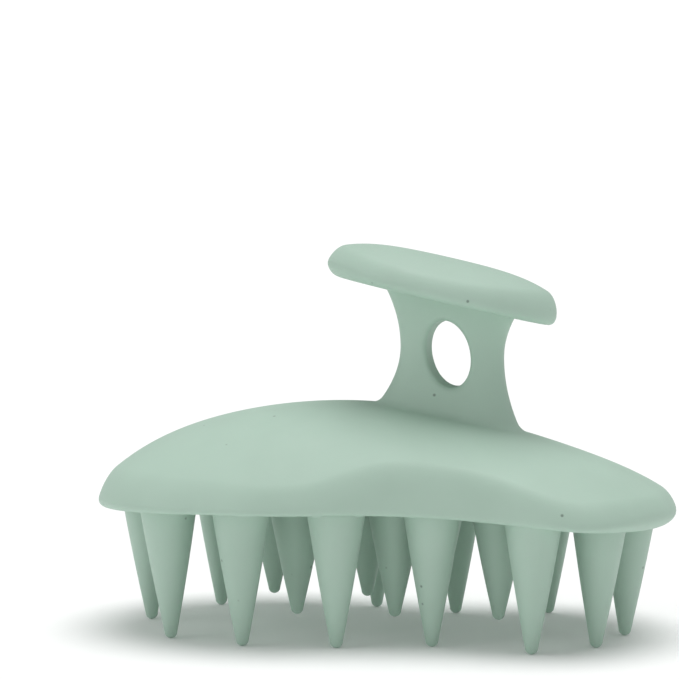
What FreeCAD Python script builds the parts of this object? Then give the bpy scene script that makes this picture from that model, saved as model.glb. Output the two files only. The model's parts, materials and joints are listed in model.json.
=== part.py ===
"""Scalp massager brush: domed shell with a waisted neck, cross-grip, backing plate, soft pad, teeth.

Frame: millimetres, +Z up, +X towards the end below the neck, +Y to the left.
The origin lies under the middle of the body, on the plane that the long teeth stand on.
"""
import FreeCAD, Part
import math
import os

import Sketcher
from FreeCAD import Placement, Rotation, Vector

DIMENSIONS = {
    # body outline seen from above
    "side_arc": 119.0,
    "side_offset": 90.2,
    "end_arc": 26.5,
    "scoop_x": 11.0,
    "scoop_half_width": 23.2,
    "scoop_arc": 22.2,
    "scoop_blend": 12.0,
    # domed roof of the body
    "rim_height": 20.5,
    "crest_x": -6.0,
    "crest_height": 36.8,
    "crown_arc": 43.6,
    "rear_arc": 80.0,
    "front_arc": 104.0,
    "roof_width": 70.0,
    "roof_angle": 50.0,
    "edge_round": 1.6,
    "wall": 2.5,
    "rim_wall": 3.0,
    # neck, as ellipses stacked from the dome up to the grip
    "neck_x": 11.1,
    "foot_height": 31.0,
    "foot_reach": 13.6,
    "foot_thick": 8.0,
    "ankle_height": 37.4,
    "ankle_reach": 10.0,
    "ankle_thick": 5.4,
    "waist_height": 44.0,
    "waist_reach": 8.3,
    "waist_thick": 4.4,
    "shoulder_height": 48.6,
    "shoulder_reach": 8.9,
    "shoulder_thick": 4.5,
    "neck_top_height": 53.1,
    "neck_top_reach": 10.6,
    "neck_top_thick": 5.0,
    "hang_hole_height": 44.4,
    "hang_hole_reach": 3.4,
    "hang_hole_rise": 5.35,
    # grip
    "grip_x": 9.3,
    "grip_height": 55.8,
    "grip_tilt": 12.8,
    "grip_length": 38.1,
    "grip_width": 24.5,
    "grip_crown": 4.0,
    "grip_belly": 2.95,
    "grip_shoulder": 2.0,
    "grip_shoulder_in": 1.9,
    "grip_brow": 0.9,
    "grip_brow_in": 0.6,
    "grip_band_top": 0.6,
    "grip_foot_in": 0.7,
    "peg_spread": 11.0,
    "peg_bore": 1.2,
    "peg_play": 0.05,
    "peg_reach": 6.6,
    # soft pad and the plate above it
    "pad_thick": 5.2,
    "pad_gap": 0.15,
    "plate_thick": 2.0,
    "plate_end_arc": 16.0,
    "plate_straight": 22.0,
    "plate_x": -3.5,
    "post_spread_x": 30.0,
    "post_spread_y": 16.0,
    "post_arc": 2.0,
    "post_height": 4.0,
    "post_play": 0.1,
    "boss_arc": 3.4,
    "boss_height": 4.8,
    # teeth
    "tooth_root_arc": 4.2,
    "tooth_tip_arc": 1.15,
    "tooth_play": 0.1,
    "inner_short": 3.4,
    "ring_lean": 1.0,
}

# Roots of the teeth on one long side, from the rear end to the front end: the ring keeps an even
# margin inside the outline, so it draws in with it at the scoop.
SIDE_ROOTS = [(-31.3, 15.5), (-18.6, 19.5), (-4.1, 18.5), (10.1, 14.9), (25.7, 17.9), (35.2, 11.0)]
END_ROOT_X = 39.3
# Roots of the shorter teeth inside the ring, in a zigzag from rear to front.
INNER_ROOTS = [(-20.2, 9.2), (-12.2, -9.2), (-4.2, 9.2), (3.4, -8.8), (8.4, 5.2), (19.7, -8.6)]

doc = FreeCAD.newDocument("scalp_massager_brush")
sheet = doc.addObject("Spreadsheet::Sheet", "dims")


def fill_sheet():
    """Write each driving dimension to its own row of the sheet, under its alias."""
    for row, (alias, value) in enumerate(DIMENSIONS.items(), start=1):
        sheet.set(f"A{row}", alias)
        sheet.set(f"B{row}", str(value))
        sheet.setAlias(f"B{row}", alias)
    doc.recompute()


def dim(alias):
    return float(sheet.get(alias))


def worth(formula):
    """The value of a formula that adds up plain numbers and cells of the sheet."""
    terms = [term.strip() for term in formula.split("+")]
    return sum(dim(term[5:]) if term.startswith("dims.") else float(term) for term in terms)


def bind(target, **expressions):
    """Bind properties to formulas over the sheet: bind(box, Height="dims.wall * 2")."""
    for name, formula in expressions.items():
        target.setExpression(name, formula)


def cylinder(name, radius, height, x, y, bottom):
    """An upright cylinder; radius, height and bottom are formulas, x and y are in millimetres."""
    made = doc.addObject("Part::Cylinder", name)
    made.Placement = Placement(Vector(x, y, 0), Rotation())
    bind(made, Radius=radius, Height=height, **{"Placement.Base.z": bottom})
    return made


def boolean(kind, name, base, tool):
    made = doc.addObject(f"Part::{kind}", name)
    made.Base = base
    made.Tool = tool
    made.Refine = True
    return made


def join(name, members):
    made = doc.addObject("Part::MultiFuse", name)
    made.Shapes = members
    made.Refine = True
    return made


def round_edges(name, base, radius, wanted):
    """Round every edge of base that the test wanted(edge) picks."""
    doc.recompute()
    made = doc.addObject("Part::Fillet", name)
    made.Base = base
    edges = enumerate(base.Shape.Edges, start=1)
    made.Edges = [(number, radius, radius) for number, edge in edges if wanted(edge)]
    doc.recompute()
    return made


def upright(edge):
    first, last = edge.Vertexes[0].Point, edge.Vertexes[-1].Point
    return abs(first.z - last.z) > 1.0 and math.hypot(first.x - last.x, first.y - last.y) < 1e-6


def body_sketch(body, name, role):
    """A new sketch on one of the body's own origin planes."""
    sketch = body.newObject("Sketcher::SketchObject", name)
    plane = next(item for item in body.Origin.OriginFeatures if item.Role == role)
    sketch.AttachmentSupport = [(plane, "")]
    sketch.MapMode = "FlatFace"
    return sketch


def outline_prism(name, inset, bottom, top):
    """Upright solid on the body's outline, drawn in by inset, between two heights."""
    height = f"{top} - {bottom}"
    lens = []
    for side in (1, -1):
        offset = -side * dim("side_offset")
        lens.append(cylinder(f"{name}_side_{side + 1}", f"dims.side_arc - ({inset})", height, 0, offset, bottom))
    oval = boolean("Common", f"{name}_lens", lens[0], lens[1])
    inset_value = worth(inset)
    rounded = round_edges(f"{name}_oval", oval, dim("end_arc") - inset_value, upright)
    scoops = []
    for side in (1, -1):
        reach = side * (dim("scoop_half_width") + dim("scoop_arc"))
        scoop = f"{name}_scoop_{side + 1}"
        scoops.append(cylinder(scoop, f"dims.scoop_arc + {inset}", height, dim("scoop_x"), reach, bottom))
    waisted = boolean("Cut", f"{name}_waisted", rounded, join(f"{name}_scoops", scoops))
    doc.recompute()

    def at_scoop(edge):
        point = edge.Vertexes[0].Point
        near = abs(point.x - dim("scoop_x")) < dim("scoop_arc")
        return upright(edge) and near and abs(point.y) > dim("scoop_half_width") - inset_value + 1.0

    return round_edges(f"{name}_outline", waisted, dim("scoop_blend") - inset_value, at_scoop)


def line(x1, y1, x2, y2):
    return Part.LineSegment(Vector(x1, y1, 0), Vector(x2, y2, 0))


def arc(x, y, radius, start, end):
    return Part.ArcOfCircle(Part.Circle(Vector(x, y, 0), Vector(0, 0, 1), radius), start, end)


def chain(sketch, count):
    """Join each of the first count curves to the next, end to start, and the last to the first."""
    for number in range(count):
        following = (number + 1) % count
        sketch.addConstraint(Sketcher.Constraint("Coincident", number, 2, following, 1))


def measure(sketch, label, formula, *constraint):
    """Add a named dimension to a sketch and bind it to a formula over the sheet."""
    number = sketch.addConstraint(Sketcher.Constraint(*constraint))
    sketch.renameConstraint(number, label)
    sketch.setExpression(f"Constraints.{label}", formula)


def roof_sector(name, drop, swing_arc, backwards):
    """Half of the domed roof: an arched section swung about a level axis far below the crest."""
    body = doc.addObject("PartDesign::Body", name)
    sketch = body_sketch(body, f"{name}_section", "YZ_Plane")
    half, foot = dim("roof_width") / 2, dim("rim_height") / 2
    radius = dim("crown_arc") - worth(drop)
    centre = dim("crest_height") - dim("crown_arc")
    axis_height = dim("crest_height") - dim(swing_arc)
    spring = centre + math.sqrt(radius**2 - half**2)
    start = math.acos(half / radius)
    sketch.addGeometry(arc(0, centre, radius, start, math.pi - start), False)
    sketch.addGeometry(line(-half, spring, -half, foot), False)
    sketch.addGeometry(line(-half, foot, half, foot), False)
    sketch.addGeometry(line(half, foot, half, spring), False)
    sketch.addGeometry(line(-half, axis_height, half, axis_height), True)
    chain(sketch, 4)
    sketch.addConstraint(Sketcher.Constraint("Vertical", 1))
    sketch.addConstraint(Sketcher.Constraint("PointOnObject", 0, 3, -2))
    sketch.addConstraint(Sketcher.Constraint("Symmetric", 2, 1, 2, 2, -2))
    sketch.addConstraint(Sketcher.Constraint("Symmetric", 4, 1, 4, 2, -2))
    measure(sketch, "crown", f"dims.crown_arc - ({drop})", "Radius", 0, radius)
    measure(sketch, "sink", "dims.crown_arc - dims.crest_height", "DistanceY", 0, 3, -1, 1, -centre)
    measure(sketch, "span", "dims.roof_width", "DistanceX", 2, 1, 2, 2, 2 * half)
    measure(sketch, "foot", "dims.rim_height / 2", "DistanceY", -1, 1, 2, 1, foot)
    measure(sketch, "swing", f"dims.{swing_arc} - dims.crest_height", "DistanceY", 4, 1, -1, 1, -axis_height)
    measure(sketch, "axle", "dims.roof_width", "DistanceX", 4, 1, 4, 2, 2 * half)
    doc.recompute()
    swing = body.newObject("PartDesign::Revolution", f"{name}_swing")
    swing.Profile = sketch
    swing.ReferenceAxis = (sketch, ["Axis0"])
    swing.Reversed = backwards
    bind(swing, Angle="dims.roof_angle")
    bind(body, **{"Placement.Base.x": "dims.crest_x"})
    return body


def roof(name, drop):
    """The whole domed roof solid, lowered all over by drop."""
    rear = roof_sector(f"{name}_rear", drop, "rear_arc", True)
    front = roof_sector(f"{name}_front", drop, "front_arc", False)
    return join(name, [rear, front])


def over_the_roof(edge):
    """The crest edge between the dome and the upright side of the body."""
    box = edge.BoundBox
    return not upright(edge) and box.ZMax > dim("rim_height") + 1.0 and box.XLength > 0.01


def build_dome():
    """The solid dome with its rounded top edge, and the hollow that is cut up into it."""
    outer = outline_prism("dome_prism", "0", "dims.rim_height", "dims.crest_height + 1")
    block = boolean("Common", "dome_block", outer, roof("dome_roof", "0"))
    dome = round_edges("dome", block, dim("edge_round"), over_the_roof)
    inner = outline_prism("hollow_prism", "dims.rim_wall", "dims.rim_height - 1", "dims.crest_height")
    return dome, boolean("Common", "hollow", inner, roof("hollow_roof", "dims.wall"))


def ellipse_ring(name, reach, thick, height, tilt=0.0):
    """One level ellipse of the neck, given by its formulas."""
    ring = doc.addObject("Part::Ellipse", name)
    bind(ring, MajorRadius=reach, MinorRadius=thick)
    ring.Placement = Placement(Vector(), Rotation(Vector(0, 1, 0), tilt))
    bind(ring, **{"Placement.Base.x": "dims.neck_x", "Placement.Base.z": height})
    return ring


def build_neck():
    """Waisted neck: ellipses from inside the dome up to inside the grip, skinned smoothly."""
    rings = []
    for level in ("foot", "ankle", "waist", "shoulder", "neck_top"):
        tilt = dim("grip_tilt") if level == "neck_top" else 0.0
        sizes = (f"dims.{level}_reach", f"dims.{level}_thick", f"dims.{level}_height")
        rings.append(ellipse_ring(f"{level}_ring", *sizes, tilt))
    neck = doc.addObject("Part::Loft", "neck")
    neck.Sections = rings
    neck.Solid = True
    return neck


def build_hang_hole():
    """Oval hole through the neck from side to side, square to the grip."""
    oval = doc.addObject("Part::Ellipse", "hang_hole_oval")
    bind(oval, MajorRadius="dims.hang_hole_rise", MinorRadius="dims.hang_hole_reach")
    side_on = Rotation(Vector(0, 0, 1), Vector(1, 0, 0), Vector(0, 1, 0), "XYZ")
    leaning = Rotation(Vector(0, 1, 0), -dim("grip_tilt")) * side_on
    middle = Vector(dim("neck_x"), -dim("grip_width") / 2, dim("hang_hole_height"))
    oval.Placement = Placement(middle, leaning)
    hole = doc.addObject("Part::Extrusion", "hang_hole")
    hole.Base = oval
    hole.Solid = True
    hole.DirMode = "Custom"
    hole.Dir = Vector(0, 1, 0)
    bind(hole, LengthFwd="dims.grip_width")
    return hole


def grip_frame():
    """The grip's own place: level at its middle, tilted down towards the front."""
    tilt = Rotation(Vector(0, 1, 0), dim("grip_tilt"))
    return Placement(Vector(dim("grip_x"), 0, dim("grip_height")), tilt)


def build_grip_lens():
    """Crowned oval: a round lens turned from its section, then narrowed across."""
    half, crown, belly = dim("grip_length") / 2, dim("grip_crown"), dim("grip_belly")
    crest, keel = Vector(0, 0, crown), Vector(0, 0, -belly)
    shoulder = Vector(half - dim("grip_shoulder_in"), 0, dim("grip_shoulder"))
    brow = Vector(half - dim("grip_brow_in"), 0, dim("grip_brow"))
    widest = Vector(half, 0, -dim("grip_band_top"))
    foot = Vector(half - dim("grip_foot_in"), 0, -belly)
    crown_mid = Vector(shoulder.x * 0.6, 0, shoulder.z + (crown - shoulder.z) * 0.7)
    edges = [
        Part.Arc(crest, crown_mid, shoulder).toShape(),
        Part.Arc(shoulder, brow, widest).toShape(),
        Part.LineSegment(widest, foot).toShape(),
        Part.LineSegment(foot, keel).toShape(),
        Part.LineSegment(keel, crest).toShape(),
    ]
    lens = Part.Face(Part.Wire(edges)).revolve(Vector(), Vector(0, 0, 1), 360)
    narrow = FreeCAD.Matrix()
    narrow.scale(1.0, dim("grip_width") / dim("grip_length"), 1.0)
    made = doc.addObject("Part::Feature", "grip_lens")
    made.Shape = lens.transformGeometry(narrow)
    made.Placement = grip_frame()
    return made


def peg(name, radius, side):
    """A round peg, or its bore, down from the grip into the neck beside the hanging hole."""
    made = doc.addObject("Part::Cylinder", name)
    bind(made, Radius=radius, Height="dims.peg_reach")
    across = side * dim("peg_spread") / 2 + dim("neck_x") - dim("grip_x")
    made.Placement = grip_frame() * Placement(Vector(across, 0, -dim("peg_reach")), Rotation())
    return made


def build_handle():
    """The grip with its two pegs, and everything that is cut from the neck to seat it."""
    lens = build_grip_lens()
    pegs = [peg(f"peg_{side + 1}", "dims.peg_bore - dims.peg_play", side) for side in (1, -1)]
    bores = [peg(f"peg_bore_{side + 1}", "dims.peg_bore", side) for side in (1, -1)]
    grip = join("palm_grip", [lens, *pegs])
    return grip, join("grip_seat", [lens, *bores])


def post_places():
    for along in (1, -1):
        for across in (1, -1):
            x = dim("plate_x") + along * dim("post_spread_x") / 2
            yield f"{along + 1}{across + 1}", x, across * dim("post_spread_y") / 2


PLATE_TOP = "dims.rim_height + dims.pad_thick + dims.plate_thick"


def build_shell(grip_seat, sockets):
    """Dome and neck in one moulding, hollow beneath, with four bosses for the plate's posts.

    The dome comes down so low in front that the five nearest roots are let into it.
    """
    dome, hollow = build_dome()
    bosses = []
    bores = []
    for tag, x, y in post_places():
        bosses.append(cylinder(f"boss_{tag}", "dims.boss_arc", "dims.boss_height", x, y, PLATE_TOP))
        bore_size = ("dims.post_arc + dims.post_play", "dims.post_height + dims.post_play")
        bores.append(cylinder(f"boss_bore_{tag}", *bore_size, x, y, PLATE_TOP))
    skin = boolean("Cut", "shell_skin", join("shell_block", [dome, build_neck()]), hollow)
    ribbed = join("shell_bosses", [skin, *bosses])
    holes = join("shell_holes", [*bores, build_hang_hole(), grip_seat])
    pierced = boolean("Cut", "shell_pierced", ribbed, holes)
    low_roots = [sockets[f"tooth_{place}"] for place in ("front", "left_5", "left_6", "right_5", "right_6")]
    return boolean("Cut", "body_shell", pierced, join("shell_sockets", low_roots))


def build_plate():
    """Stiff plate with round ends that lies on the pad and stands four posts into the bosses."""
    body = doc.addObject("PartDesign::Body", "plate_body")
    sketch = body_sketch(body, "plate_outline", "XY_Plane")
    radius, half = dim("plate_end_arc"), dim("plate_straight") / 2
    sketch.addGeometry(arc(half, 0, radius, -math.pi / 2, math.pi / 2), False)
    sketch.addGeometry(line(half, radius, -half, radius), False)
    sketch.addGeometry(arc(-half, 0, radius, math.pi / 2, -math.pi / 2), False)
    sketch.addGeometry(line(-half, -radius, half, -radius), False)
    for number in range(4):
        sketch.addConstraint(Sketcher.Constraint("Tangent", number, 2, (number + 1) % 4, 1))
    sketch.addConstraint(Sketcher.Constraint("Symmetric", 0, 3, 2, 3, -1, 1))
    sketch.addConstraint(Sketcher.Constraint("Horizontal", 1))
    measure(sketch, "end_arc", "dims.plate_end_arc", "Radius", 0, radius)
    measure(sketch, "straight", "dims.plate_straight", "DistanceX", 2, 3, 0, 3, 2 * half)
    doc.recompute()
    slab = body.newObject("PartDesign::Pad", "plate_slab")
    slab.Profile = sketch
    bind(slab, Length="dims.plate_thick")
    bind(body, **{"Placement.Base.x": "dims.plate_x"})
    bind(body, **{"Placement.Base.z": "dims.rim_height + dims.pad_thick"})
    posts = [
        cylinder(f"post_{tag}", "dims.post_arc", "dims.post_height", x, y, PLATE_TOP)
        for tag, x, y in post_places()
    ]
    return join("backing_plate", [body, *posts])


def build_socket(name, x, y):
    """The round hollow for the ball root of one tooth."""
    hollow = doc.addObject("Part::Sphere", f"socket_{name}")
    hollow.Placement = Placement(Vector(x, y, 0), Rotation())
    bind(hollow, Radius="dims.tooth_root_arc + dims.tooth_play", **{"Placement.Base.z": "dims.rim_height"})
    return hollow


def build_pad(sockets):
    """Soft pad, flush in the rim, with the hollows for the roots of the teeth."""
    inset = "dims.rim_wall + dims.pad_gap"
    slab = outline_prism("pad_prism", inset, "dims.rim_height", "dims.rim_height + dims.pad_thick")
    lid = boolean("Common", "pad_slab", slab, roof("pad_roof", "dims.wall + dims.pad_gap"))
    return boolean("Cut", "tooth_pad", lid, join("pad_sockets", list(sockets.values())))


def tooth_roots():
    """Name, root place, whether it is short, and inward lean direction of every tooth."""
    roots = [("tooth_rear", -END_ROOT_X, 0.0, False, 0.0), ("tooth_front", END_ROOT_X, 0.0, False, 180.0)]
    for side, sign in (("left", 1), ("right", -1)):
        for number, (x, y) in enumerate(SIDE_ROOTS, start=1):
            inward = math.degrees(math.atan2(-sign * y, ring_centre(x) - x))
            roots.append((f"tooth_{side}_{number}", x, sign * y, False, inward))
    for number, (x, y) in enumerate(INNER_ROOTS, start=1):
        roots.append((f"tooth_inner_{number}", x, y, True, None))
    return roots


def ring_centre(x):
    """Middle of the round end that a ring tooth belongs to, or its own place along the sides."""
    reach = 20.0
    return max(-reach, min(reach, x))


def build_tooth(name, x, y, short, inward):
    """A cone on a ball root, rounded at its tip; ring teeth lean a little towards the middle."""
    body = doc.addObject("PartDesign::Body", name)
    sketch = body_sketch(body, f"{name}_profile", "XZ_Plane")
    root, tip = dim("tooth_root_arc"), dim("tooth_tip_arc")
    lean = 0.0 if inward is None else dim("ring_lean")
    cut = "dims.inner_short" if short else "0"
    length = (dim("rim_height") - tip - worth(cut)) / math.cos(math.radians(lean)) + tip
    tilt = math.atan2(root - tip, length - tip)
    sketch.addGeometry(arc(0, 0, root, 0, math.pi / 2), False)
    sketch.addGeometry(line(0, root, 0, -length), False)
    sketch.addGeometry(arc(0, tip - length, tip, -math.pi / 2, -tilt), False)
    sketch.addGeometry(line(tip * math.cos(tilt), tip - length - tip * math.sin(tilt), root, 0), False)
    sketch.addConstraint(Sketcher.Constraint("Coincident", 0, 2, 1, 1))
    sketch.addConstraint(Sketcher.Constraint("Coincident", 1, 2, 2, 1))
    sketch.addConstraint(Sketcher.Constraint("Tangent", 2, 2, 3, 1))
    sketch.addConstraint(Sketcher.Constraint("Coincident", 3, 2, 0, 1))
    sketch.addConstraint(Sketcher.Constraint("Coincident", 0, 3, -1, 1))
    sketch.addConstraint(Sketcher.Constraint("PointOnObject", 0, 1, -1))
    sketch.addConstraint(Sketcher.Constraint("PointOnObject", 1, 1, -2))
    sketch.addConstraint(Sketcher.Constraint("PointOnObject", 1, 2, -2))
    sketch.addConstraint(Sketcher.Constraint("PointOnObject", 2, 3, -2))
    measure(sketch, "root", "dims.tooth_root_arc", "Radius", 0, root)
    measure(sketch, "tip", "dims.tooth_tip_arc", "Radius", 2, tip)
    reach = f"(dims.rim_height - dims.tooth_tip_arc - {cut}) / cos({lean} deg) + dims.tooth_tip_arc"
    measure(sketch, "reach", reach, "DistanceY", 1, 2, -1, 1, length)
    doc.recompute()
    turned = body.newObject("PartDesign::Revolution", f"{name}_turned")
    turned.Profile = sketch
    turned.ReferenceAxis = (sketch, ["V_Axis"])
    turned.Angle = 360
    heading = Vector(1, 0, 0)
    if inward is not None:
        heading = Vector(math.cos(math.radians(inward)), math.sin(math.radians(inward)), 0)
    hinge = Vector(0, 0, 1).cross(heading)
    body.Placement = Placement(Vector(x, y, dim("rim_height")), Rotation(hinge, -lean))
    return body


def check_document():
    """Stop on any failed object or sub-part before anything is written."""
    for item in doc.Objects:
        failed = {"Invalid", "Error"} & set(item.State)
        if failed:
            raise RuntimeError(f"{item.Name} is {failed}")
    for node, item in SUB_PARTS.items():
        if item.Shape.isNull() or not item.Shape.isValid() or len(item.Shape.Solids) != 1:
            raise RuntimeError(f"{node} has no single sound solid: {len(item.Shape.Solids)} solids")


fill_sheet()
palm_grip, grip_seat = build_handle()
ROOTS = tooth_roots()
SOCKETS = {name: build_socket(name, x, y) for name, x, y, _short, _inward in ROOTS}
SUB_PARTS = {
    "body_shell": build_shell(grip_seat, SOCKETS),
    "palm_grip": palm_grip,
    "backing_plate": build_plate(),
    "tooth_pad": build_pad(SOCKETS),
}
for root in ROOTS:
    SUB_PARTS[root[0]] = build_tooth(*root)
doc.recompute()
check_document()
os.makedirs("parts", exist_ok=True)
for node, item in SUB_PARTS.items():
    item.Label = node
    item.Shape.exportStep(f"parts/{node}.step")
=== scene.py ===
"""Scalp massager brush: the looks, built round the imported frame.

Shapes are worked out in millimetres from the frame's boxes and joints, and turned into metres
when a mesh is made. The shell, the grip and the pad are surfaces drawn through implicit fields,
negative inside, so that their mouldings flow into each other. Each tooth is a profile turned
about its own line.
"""
import itertools
import json
import math

import bpy
import numpy as np
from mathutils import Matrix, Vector


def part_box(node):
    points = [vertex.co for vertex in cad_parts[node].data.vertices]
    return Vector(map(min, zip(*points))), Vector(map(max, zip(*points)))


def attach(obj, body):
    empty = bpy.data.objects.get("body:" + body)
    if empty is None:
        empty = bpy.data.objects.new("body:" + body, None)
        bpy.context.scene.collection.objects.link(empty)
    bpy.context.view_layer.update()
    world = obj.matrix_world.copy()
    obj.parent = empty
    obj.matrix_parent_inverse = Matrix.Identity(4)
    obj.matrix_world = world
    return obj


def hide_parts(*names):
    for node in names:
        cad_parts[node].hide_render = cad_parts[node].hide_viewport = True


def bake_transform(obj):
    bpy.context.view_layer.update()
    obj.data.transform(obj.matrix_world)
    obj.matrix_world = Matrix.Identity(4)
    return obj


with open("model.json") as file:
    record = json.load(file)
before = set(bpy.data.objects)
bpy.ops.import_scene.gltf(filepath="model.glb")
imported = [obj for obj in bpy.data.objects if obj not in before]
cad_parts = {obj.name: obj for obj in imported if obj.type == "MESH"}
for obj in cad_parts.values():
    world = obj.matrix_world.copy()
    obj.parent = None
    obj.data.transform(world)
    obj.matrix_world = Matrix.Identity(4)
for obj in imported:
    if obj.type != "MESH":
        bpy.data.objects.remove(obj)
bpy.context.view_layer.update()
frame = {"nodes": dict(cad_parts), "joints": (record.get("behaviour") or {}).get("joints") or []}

MM = 0.001


def box_mm(node):
    """A CAD node's lowest and highest corners, in millimetres."""
    low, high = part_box(node)
    return np.array(low) / MM, np.array(high) / MM


shell_low, shell_high = box_mm("body_shell")
grip_low, grip_high = box_mm("palm_grip")
pad_low, pad_high = box_mm("tooth_pad")
JOINTS = {joint["child"]: joint for joint in frame["joints"]}
ROOTS = {name: np.array(joint["pos_m"]) / MM for name, joint in JOINTS.items()}

# Outline from above: end arcs and shallow side arcs, with a finger scoop in each side. The CAD
# mesh ends a hair short of its true length, so the half length is rounded.
HALF_LENGTH = round(shell_high[0], 2)
END_ARC = 26.5
END_X = HALF_LENGTH - END_ARC
SIDE_ARC = 119.0
SIDE_Y = 90.2
SCOOP_X = 11.0
SCOOP_HALF_WIDTH = 23.2
SCOOP_ARC = 22.2
SCOOP_BLEND = 12.0

# Ridge of the dome: an arc behind the crest and a ramp in front, each with a late droop.
CREST = 36.8
CREST_X = -6.0
REAR_ARC = 84.0
REAR_DROOP = 0.5
REAR_DROOP_RUN = 28.7
FRONT_SLOPE = 0.42
FRONT_EASE = 13.0
FRONT_DROOP = 2.2
FRONT_DROOP_RUN = 53.0

# Arch across the dome: its radius, how that opens out in front, and where it tightens.
CROWN_REAR = 35.0
CROWN_FRONT = 43.0
CROWN_OPENS = (9.0, 25.0)
CROWN_DIP = 3.4
CROWN_DIP_X = -5.0
CROWN_DIP_REACH = 8.0

# Rim and rounded edges. Each span is the stretch over which an edge gains its extra rounding,
# measured from the middle towards the rear or the front.
RIM = shell_low[2]
RIM_PEAK = 0.55
RIM_PEAK_X = -10.0
RIM_BOW = 0.00104
RIM_WALL = 3.0
RIM_INNER_EDGE = 0.5
WALL = 2.5
BROW = 2.4
BROW_REAR = 1.2
BROW_REAR_SPAN = (6.0, 34.0)
LIP = 0.8
LIP_REAR = 0.9
LIP_REAR_SPAN = (24.0, 44.0)
LIP_FRONT = 2.6
LIP_FRONT_SPAN = (32.0, 46.0)

# Neck. Each bow is how fast an edge swings out above its waist and below it.
NECK_REAR_X = 2.85
NECK_REAR_WAIST = 45.6
NECK_REAR_BOW = (0.0275, 0.044)
NECK_FRONT_X = 19.35
NECK_WAIST = 44.0
NECK_FRONT_BOW = (0.043, 0.020)
NECK_HALF_THICK = 4.5
NECK_SIDE_BOW = (0.008, 0.011)
NECK_SQUARENESS = 2.7
NECK_FOOT = 29.5
NECK_FILLET = 1.0
HOLE_X = 10.9
HOLE_Z = 44.45
HOLE_REACH = 3.4
HOLE_RISE = 5.35
HOLE_EDGE = 0.8
DISH = 0.6
DISH_SPREAD = 55.0

# Grip, in its own tilted frame. Its crown falls from the middle towards its sides and ends, and
# nearness turns height over that slope into distance.
GRIP_X = 9.5
GRIP_Z = 55.85
GRIP_TILT = math.radians(12.8)
GRIP_HALF = 18.85
GRIP_ACROSS = 12.25
GRIP_CROWN = 4.0
GRIP_FALL_LENGTHWISE = 0.6
GRIP_FALL_ACROSS = 4.2
GRIP_FALL_ENDS = 2.15
GRIP_CROWN_NEARNESS = 0.88
GRIP_EDGE = 1.6
GRIP_EDGE_ENDS = 1.0
GRIP_BELLY = 2.95
GRIP_BELLY_EDGE = 1.2
GRIP_BELLY_EDGE_REAR = 1.4
GRIP_BELLY_SPAN = (6.0, 18.0)

# Pad, with a low collar round each tooth.
PAD_GAP = 0.15
PAD_EDGE = 0.7
COLLAR = 4.0
COLLAR_RISE = 0.5
COLLAR_HALF_HEIGHT = 1.1
COLLAR_FILLET = 1.0

# Teeth.
TOOTH_ROOT = 4.4
TOOTH_FLARE = 0.2
TOOTH_TIP = 1.0
TOOTH_FULLNESS = 0.1
TOOTH_BURIED = 1.5
TOOTH_LEAN = math.radians(1.0)

# Meshing: grid step, rounds of settling, and room below the CAD boxes for rim and collars.
GRID = 0.45
SETTLE_ROUNDS = 3
RIM_ROOM = np.array((0.0, 0.0, 2.0))
COLLAR_ROOM = 1.0


# ---------------------------------------------------------------- implicit fields


def cut(a, b, radius):
    """Both fields at once, with their shared edge rounded."""
    both = np.hypot(np.maximum(a + radius, 0), np.maximum(b + radius, 0))
    return np.minimum(np.maximum(a, b), -radius) + both


def fuse(a, b, radius):
    """Either field, with the inner corner between them filleted."""
    both = np.hypot(np.maximum(radius - a, 0), np.maximum(radius - b, 0))
    return np.maximum(np.minimum(a, b), radius) - both


def ease(value, start, stop):
    """Nought before start, one past stop, and a smooth rise between."""
    share = np.clip((value - start) / (stop - start), 0.0, 1.0)
    return share * share * (3.0 - 2.0 * share)


def oval(u, v, reach, thick, power=2.0):
    """Near distance outside an oval with these half sizes; a higher power makes it squarer."""
    along, across = np.abs(u) / reach, np.abs(v) / thick
    ring = np.maximum((along**power + across**power) ** (1 / power), 1e-3)
    slope = np.hypot(along ** (power - 1) / reach, across ** (power - 1) / thick)
    return (ring - 1) * ring ** (power - 1) / np.maximum(slope, 1e-3)


def tilted(x, z, tilt):
    """Place along and above a line that dips forward by this tilt."""
    along = x * math.cos(tilt) - z * math.sin(tilt)
    over = x * math.sin(tilt) + z * math.cos(tilt)
    return along, over


def outline(x, y, inset=0.0):
    """Distance outside the body's outline seen from above."""
    along, across = np.abs(x), np.abs(y)
    side = np.hypot(along, across + SIDE_Y) - SIDE_ARC
    end = np.hypot(along - END_X, across) - END_ARC
    in_end_sector = (along - END_X) * SIDE_Y > across * END_X
    scoop = SCOOP_ARC - np.hypot(x - SCOOP_X, across - SCOOP_HALF_WIDTH - SCOOP_ARC)
    return cut(np.where(in_end_sector, end, side), scoop, SCOOP_BLEND) + inset


def fall(x):
    """How far the dome's ridge has come down from its crest at this place along the body."""
    run = np.abs(x - CREST_X)
    rear = run**2 / (2 * REAR_ARC) + REAR_DROOP * (run / REAR_DROOP_RUN) ** 6
    ramp = np.hypot(FRONT_EASE, FRONT_SLOPE * run) - FRONT_EASE
    front = ramp + FRONT_DROOP * (run / FRONT_DROOP_RUN) ** 10
    return np.where(x < CREST_X, rear, front)


def roof(x, y, z, drop=0.0):
    """Distance above the domed roof, or above a lower roof that runs this far beneath it."""
    near = 0.1
    steep = (fall(x + near) - fall(x - near)) / (2 * near)
    dip = CROWN_DIP * np.exp(-(((x - CROWN_DIP_X) / CROWN_DIP_REACH) ** 2))
    crown = CROWN_REAR + (CROWN_FRONT - CROWN_REAR) * ease(x, *CROWN_OPENS) - dip
    arch = np.hypot(y, z + fall(x) - CREST + crown) - crown
    return arch / np.hypot(1.0, steep) + drop


def rim_line(x):
    """Height of the rim's underside, highest a little behind the middle and lowest in front."""
    return RIM + RIM_PEAK - RIM_BOW * (x - RIM_PEAK_X) ** 2


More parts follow.
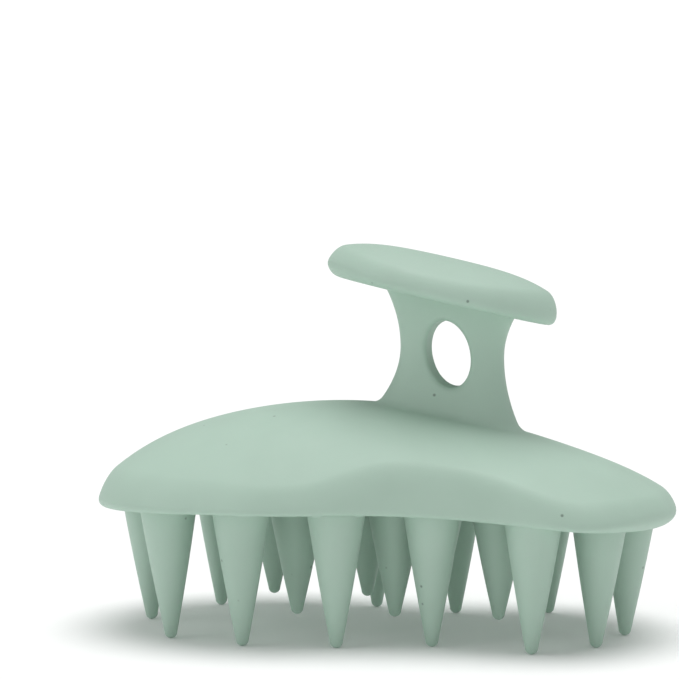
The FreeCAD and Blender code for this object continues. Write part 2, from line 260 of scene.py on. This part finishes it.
def bowed(z, waist, bow):
    """How far an edge of the neck has swung out at this height, either side of its waist."""
    rise = z - waist
    return np.where(rise > 0, bow[0], bow[1]) * rise**2


def neck(x, y, z):
    """Waisted column with flat faces, dished a little round the hanging hole."""
    rear = NECK_REAR_X - bowed(z, NECK_REAR_WAIST, NECK_REAR_BOW)
    front = NECK_FRONT_X + bowed(z, NECK_WAIST, NECK_FRONT_BOW)
    thick = NECK_HALF_THICK + bowed(z, NECK_WAIST, NECK_SIDE_BOW)
    dish = DISH * np.exp(-((x - HOLE_X) ** 2 + (z - HOLE_Z) ** 2) / DISH_SPREAD)
    half = (front - rear) / 2
    column = oval(x - (rear + front) / 2, y, half, thick - dish, NECK_SQUARENESS)
    over = tilted(x - GRIP_X, z - GRIP_Z, GRIP_TILT)[1]
    return np.maximum(np.maximum(column, over), NECK_FOOT - z)


def shell(x, y, z):
    """Domed body and neck, with the hanging hole through the neck, and hollow beneath."""
    plan = outline(x, y)
    brow = BROW + BROW_REAR * ease(-x, *BROW_REAR_SPAN)
    lip = LIP + LIP_REAR * ease(-x, *LIP_REAR_SPAN) + LIP_FRONT * ease(x, *LIP_FRONT_SPAN)
    dome = cut(plan, roof(x, y, z), brow)
    dome = cut(dome, rim_line(x) - z, lip)
    body = fuse(dome, neck(x, y, z), NECK_FILLET)
    across, up = tilted(x - HOLE_X, z - HOLE_Z, -GRIP_TILT)
    body = cut(body, -oval(across, up, HOLE_REACH, HOLE_RISE), HOLE_EDGE)
    hollow = np.maximum(plan + RIM_WALL, roof(x, y, z, WALL))
    return cut(body, -hollow, RIM_INNER_EDGE)


def grip(x, y, z):
    """Crowned oval over an upright band, flat beneath."""
    along, over = tilted(x - GRIP_X, z - GRIP_Z, GRIP_TILT)
    band = oval(along, y, GRIP_HALF, GRIP_ACROSS)
    length, width = (along / GRIP_HALF) ** 2, (y / GRIP_ACROSS) ** 2
    top = GRIP_CROWN - GRIP_FALL_LENGTHWISE * length - GRIP_FALL_ACROSS * width
    top = top - GRIP_FALL_ENDS * length * (length + width)
    edge = GRIP_EDGE + GRIP_EDGE_ENDS * np.minimum(length, 1.0)
    crowned = cut(band, GRIP_CROWN_NEARNESS * (over - top), edge)
    belly_edge = GRIP_BELLY_EDGE + GRIP_BELLY_EDGE_REAR * ease(-along, *GRIP_BELLY_SPAN)
    return cut(crowned, -over - GRIP_BELLY, belly_edge)


def pad(x, y, z):
    """Soft slab that closes the underside, with a low collar round each tooth's root."""
    slab = np.maximum(outline(x, y, RIM_WALL + PAD_GAP), roof(x, y, z, WALL + PAD_GAP))
    slab = np.maximum(slab, z - pad_high[2])
    slab = cut(slab, RIM + PAD_GAP - z, PAD_EDGE)
    for root in ROOTS.values():
        ring = np.hypot(x - root[0], y - root[1]) - COLLAR
        collar = np.maximum(ring, np.abs(z - root[2] - COLLAR_RISE) - COLLAR_HALF_HEIGHT)
        slab = fuse(slab, collar, COLLAR_FILLET)
    return slab


# ---------------------------------------------------------------- meshing


def crossing_spots(values):
    """Mean place, in grid steps, where the field changes sign in each cell that it crosses."""
    cells = np.array(values.shape) - 1
    total = np.zeros((*cells, 3))
    crossings = np.zeros(cells)

    def at_corner(corner):
        return values[tuple(slice(c, c + n) for c, n in zip(corner, cells))]

    for first in itertools.product((0, 1), repeat=3):
        for axis in range(3):
            if first[axis]:
                continue
            second = tuple(c + (a == axis) for a, c in enumerate(first))
            start, stop = at_corner(first), at_corner(second)
            crossed = (start < 0) != (stop < 0)
            share = np.where(crossed, start / np.where(crossed, start - stop, 1.0), 0.0)
            crossings += crossed
            for a in range(3):
                spot = first[a] + (share if a == axis else 0.0)
                total[..., a] += np.where(crossed, spot, 0.0)
    used = crossings > 0
    return np.argwhere(used) + total[used] / crossings[used][:, None], used


def quads_round_edges(inside, index):
    """A quad of cells round each grid edge that leaves the solid, wound to face outward."""
    counts = inside.shape
    quads = []
    for axis in range(3):
        u, v = (axis + 1) % 3, (axis + 2) % 3
        near = [slice(1, n - 1) for n in counts]
        near[axis] = slice(0, counts[axis] - 1)
        far = list(near)
        far[axis] = slice(1, counts[axis])
        here, there = inside[tuple(near)], inside[tuple(far)]
        edges = np.argwhere(here != there)
        leaving = here[tuple(edges.T)]
        edges[:, u] += 1
        edges[:, v] += 1
        ring = []
        for du, dv in ((0, 0), (-1, 0), (-1, -1), (0, -1)):
            cell = edges.copy()
            cell[:, u] += du
            cell[:, v] += dv
            ring.append(index[tuple(cell.T)])
        quad = np.stack(ring, axis=1)
        quad[~leaving] = quad[~leaving][:, ::-1]
        quads.append(quad)
    return np.concatenate(quads)


def settle(field, points):
    """Pull points onto the zero of the field along its slope, a little at a time."""
    reach, limit = 0.05 * GRID, 0.4 * GRID
    least_steep, least_length = 0.25, 1e-9
    for _ in range(SETTLE_ROUNDS):
        slope = np.empty_like(points)
        for axis in range(3):
            shift = np.zeros(3)
            shift[axis] = reach
            rise = field(*(points + shift).T) - field(*(points - shift).T)
            slope[:, axis] = rise / (2 * reach)
        steep = np.maximum((slope**2).sum(axis=1), least_steep)
        move = -(field(*points.T) / steep)[:, None] * slope
        length = np.maximum(np.linalg.norm(move, axis=1), least_length)
        points = points + move * np.minimum(1.0, limit / length)[:, None]
    return points


def surface(name, field, low, high):
    """A quad mesh drawn through the zero of a field, and open where this box cuts the solid."""
    low, high = np.array(low) - 2 * GRID, np.array(high) + 2 * GRID
    counts = np.ceil((high - low) / GRID).astype(int) + 1
    axes = [low[a] + GRID * np.arange(counts[a]) for a in range(3)]
    values = field(*np.meshgrid(*axes, indexing="ij"))
    spots, used = crossing_spots(values)
    index = np.full(used.shape, -1)
    index[used] = np.arange(len(spots))
    points = settle(field, low + GRID * spots)
    return mesh_object(name, points, quads_round_edges(values < 0, index))


def turned(name, root, down, profile, steps=40):
    """A closed solid turned about a line down from root; profile is (radius, depth) to the tip."""
    root = Vector(root)
    side = down.orthogonal().normalized()
    other = down.cross(side)
    points = [root + down * profile[0][1]]
    for radius, depth in profile[1:-1]:
        for k in range(steps):
            turn = 2 * math.pi * k / steps
            across = side * math.cos(turn) + other * math.sin(turn)
            points.append(root + down * depth + across * radius)
    points.append(root + down * profile[-1][1])
    last_point = len(points) - 1
    last_ring = last_point - steps
    faces = []
    for k in range(steps):
        n = (k + 1) % steps
        faces.append((0, 1 + n, 1 + k))
        for a in range(1, last_ring, steps):
            b = a + steps
            faces.append((a + k, a + n, b + n, b + k))
        faces.append((last_ring + k, last_ring + n, last_point))
    return mesh_object(name, points, faces)


def mesh_object(name, points, faces):
    """A smooth-shaded object from points in millimetres."""
    mesh = bpy.data.meshes.new(name)
    mesh.from_pydata((np.asarray(points) * MM).tolist(), [], [list(map(int, f)) for f in faces])
    mesh.update()
    mesh.polygons.foreach_set("use_smooth", [True] * len(mesh.polygons))
    made = bpy.data.objects.new(name, mesh)
    bpy.context.scene.collection.objects.link(made)
    return made


# ---------------------------------------------------------------- materials

CLOUD_SCALE = 90.0
FLECK_SCALE = 330.0
FLECK_EDGE = 0.10
FLECK_CORE = 0.05
GRAIN_SCALE = 1800.0
SAGE = (0.455, 0.61, 0.515)
SAGE_DEEP = (0.43, 0.58, 0.487)
PLATE_SAGE = (0.40, 0.52, 0.45)
FLECK = tuple(0.5 * part for part in SAGE_DEEP)


def ramped(tree, source, start, stop, low=0.0, high=1.0):
    """A value that goes from low to high while its source goes from start to stop."""
    span = tree.nodes.new("ShaderNodeMapRange")
    span.inputs["From Min"].default_value = start
    span.inputs["From Max"].default_value = stop
    span.inputs["To Min"].default_value = low
    span.inputs["To Max"].default_value = high
    tree.links.new(source, span.inputs["Value"])
    return span.outputs["Result"]


def noise(tree, place, scale, detail):
    """Smooth random value that varies from place to place at this scale."""
    texture = tree.nodes.new("ShaderNodeTexNoise")
    texture.inputs["Scale"].default_value = scale
    texture.inputs["Detail"].default_value = detail
    tree.links.new(place, texture.inputs["Vector"])
    return texture.outputs["Fac"]


def mixed(tree, factor, first, second):
    """Colour between two, each a colour or the output of a node."""
    mix = tree.nodes.new("ShaderNodeMix")
    mix.data_type = "RGBA"
    tree.links.new(factor, mix.inputs["Factor"])
    colour_a, colour_b = [socket for socket in mix.inputs if socket.type == "RGBA"]
    for socket, value in ((colour_a, first), (colour_b, second)):
        if isinstance(value, bpy.types.NodeSocket):
            tree.links.new(value, socket)
        else:
            socket.default_value = (*value, 1.0)
    return next(socket for socket in mix.outputs if socket.type == "RGBA")


def flecks(tree, place, amount):
    """One inside small round spots, which lie in this share of the cells of a fine pattern."""
    cells = tree.nodes.new("ShaderNodeTexVoronoi")
    cells.inputs["Scale"].default_value = FLECK_SCALE
    tree.links.new(place, cells.inputs["Vector"])
    spot = ramped(tree, cells.outputs["Distance"], FLECK_EDGE, FLECK_CORE)
    chance = tree.nodes.new("ShaderNodeSeparateColor")
    tree.links.new(cells.outputs["Color"], chance.inputs["Color"])
    rare = ramped(tree, chance.outputs["Red"], 1.0 - amount, 1.01 - amount)
    both = tree.nodes.new("ShaderNodeMath")
    both.operation = "MULTIPLY"
    tree.links.new(spot, both.inputs[0])
    tree.links.new(rare, both.inputs[1])
    return both.outputs[0]


def plastic(name, colour, roughness, softness, fleck_amount):
    """Matte moulded material: cloudy tint, sparse dark fibre flecks and a fine satin grain."""
    made = bpy.data.materials.new(name)
    made.use_nodes = True
    tree = made.node_tree
    shader = tree.nodes["Principled BSDF"]
    place = tree.nodes.new("ShaderNodeTexCoord").outputs["Object"]
    cloud = ramped(tree, noise(tree, place, CLOUD_SCALE, 3.0), 0.35, 0.75)
    tint = mixed(tree, cloud, colour, SAGE_DEEP)
    coloured = mixed(tree, flecks(tree, place, fleck_amount), tint, FLECK)
    tree.links.new(coloured, shader.inputs["Base Color"])
    grain = noise(tree, place, GRAIN_SCALE, 2.0)
    rough = ramped(tree, grain, 0.0, 1.0, roughness - 0.05, roughness + 0.06)
    tree.links.new(rough, shader.inputs["Roughness"])
    bump = tree.nodes.new("ShaderNodeBump")
    bump.inputs["Strength"].default_value = 0.08
    bump.inputs["Distance"].default_value = 0.0002
    tree.links.new(grain, bump.inputs["Height"])
    tree.links.new(bump.outputs["Normal"], shader.inputs["Normal"])
    shader.inputs["Subsurface Weight"].default_value = softness
    shader.inputs["Subsurface Radius"].default_value = (0.6, 1.0, 0.75)
    shader.inputs["Subsurface Scale"].default_value = 0.0015
    shader.inputs["Specular IOR Level"].default_value = 0.35
    return made


moulding = plastic("sage_moulding", SAGE, roughness=0.55, softness=0.08, fleck_amount=0.16)
plate_moulding = plastic("plate_moulding", PLATE_SAGE, roughness=0.65, softness=0.0, fleck_amount=0.02)
silicone = plastic("sage_silicone", SAGE, roughness=0.5, softness=0.12, fleck_amount=0.32)


def wear(piece, material):
    """Give a piece this material and no other."""
    piece.data.materials.clear()
    piece.data.materials.append(material)


# ---------------------------------------------------------------- pieces


def moulded(name, field, low, high, material, node):
    """A piece drawn through a field, which rides on the handle in place of its CAD node."""
    piece = surface(name, field, low, high)
    wear(piece, material)
    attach(piece, "handle")
    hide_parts(node)


def tooth_profile(length):
    """Radius against depth: a top buried in the pad, a faintly full flank and a round tip."""
    profile = [(0.0, -TOOTH_BURIED), (TOOTH_ROOT + TOOTH_FLARE, -TOOTH_BURIED)]
    flank_steps, tip_steps = 24, 6
    for k in range(flank_steps + 1):
        share = k / flank_steps
        straight = TOOTH_ROOT + (TOOTH_TIP - TOOTH_ROOT) * share
        full = TOOTH_FULLNESS * math.sin(math.pi * share)
        profile.append((straight + full, share * (length - TOOTH_TIP)))
    for k in range(1, tip_steps):
        turn = math.pi / 2 * k / tip_steps
        depth = length - TOOTH_TIP + TOOTH_TIP * math.sin(turn)
        profile.append((TOOTH_TIP * math.cos(turn), depth))
    profile.append((0.0, length))
    return profile


def tooth(name, root):
    """Soft cone turned about its own line; those in the ring lean inward a little."""
    height = root[2] - box_mm(name)[0][2]
    lean = np.zeros(2)
    if not name.startswith("tooth_inner"):
        axis = JOINTS[name]["axis"]
        inward = np.array([axis[1], -axis[0]])
        lean = inward * math.tan(TOOTH_LEAN) * height
    line = Vector((*lean, -height))
    down = line.normalized()
    piece = turned(f"{name}_soft", root, down, tooth_profile(line.length))
    wear(piece, silicone)
    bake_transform(piece)
    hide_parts(name)


# The shell's box cuts off the top of the neck, so the shell is open there, inside the grip.
moulded("shell_moulding", shell, shell_low - RIM_ROOM, shell_high, moulding, "body_shell")
moulded("grip_moulding", grip, grip_low, grip_high, moulding, "palm_grip")
moulded("pad_moulding", pad, pad_low - COLLAR_ROOM, pad_high, silicone, "tooth_pad")
wear(frame["nodes"]["backing_plate"], plate_moulding)
for tooth_name, tooth_root in ROOTS.items():
    tooth(tooth_name, tooth_root)


# ---------------------------------------------------------------- studio


def floor():
    """Plain pale paper, with a faint glow that brings it up to the backdrop's white."""
    bpy.ops.mesh.primitive_plane_add(size=40.0, location=(0, 0, 0))
    made = bpy.context.object
    made.name = "floor"
    material = bpy.data.materials.new("floor_paper")
    material.use_nodes = True
    shader = material.node_tree.nodes["Principled BSDF"]
    shader.inputs["Base Color"].default_value = (0.93, 0.93, 0.93, 1.0)
    shader.inputs["Roughness"].default_value = 1.0
    shader.inputs["Specular IOR Level"].default_value = 0.0
    shader.inputs["Emission Color"].default_value = (1.0, 1.0, 1.0, 1.0)
    shader.inputs["Emission Strength"].default_value = 0.08
    made.data.materials.append(material)


def softbox(name, toward, spread, power):
    """Even light that shines this way, as from a softbox that fills this many degrees."""
    light = bpy.data.lights.new(name, "SUN")
    light.angle = math.radians(spread)
    light.energy = power
    made = bpy.data.objects.new(name, light)
    made.rotation_euler = Vector(toward).to_track_quat("-Z", "Y").to_euler()
    bpy.context.scene.collection.objects.link(made)


def backdrop(seen, lighting):
    """White world: so bright as the camera sees it, and so bright to everything it lights."""
    world = bpy.data.worlds.new("studio")
    world.use_nodes = True
    tree = world.node_tree
    path = tree.nodes.new("ShaderNodeLightPath")
    level = ramped(tree, path.outputs["Is Camera Ray"], 0.0, 1.0, lighting, seen)
    tree.nodes["Background"].inputs["Color"].default_value = (1, 1, 1, 1)
    tree.links.new(level, tree.nodes["Background"].inputs["Strength"])
    bpy.context.scene.world = world


def camera(aim, distance, yaw, rise, roll):
    """Camera that looks at a point from this far away, from the right of front and above."""
    yaw, rise, roll = math.radians(yaw), math.radians(rise), math.radians(roll)
    level = math.cos(rise)
    away = Vector((math.sin(yaw) * level, -math.cos(yaw) * level, math.sin(rise)))
    data = bpy.data.cameras.new("camera")
    data.sensor_width = 36.0
    data.lens = 91.0
    data.shift_x = -0.0645
    data.shift_y = 0.1613
    data.clip_start = 0.01
    made = bpy.data.objects.new("camera", data)
    made.location = Vector(aim) + away * distance
    made.rotation_euler = (-away).to_track_quat("-Z", "Y").to_euler()
    made.rotation_euler.rotate_axis("Z", roll)
    bpy.context.scene.collection.objects.link(made)
    bpy.context.scene.camera = made


floor()
softbox("key", toward=(-0.06, -0.06, -1.0), spread=45.0, power=1.96)
softbox("side", toward=(0.85, 0.4, -0.35), spread=50.0, power=0.42)
backdrop(seen=1.05, lighting=0.37)
camera(aim=(0, 0, 0.029), distance=0.2765, yaw=9.6, rise=4.88, roll=0.16)
bpy.context.scene.view_settings.view_transform = "Standard"
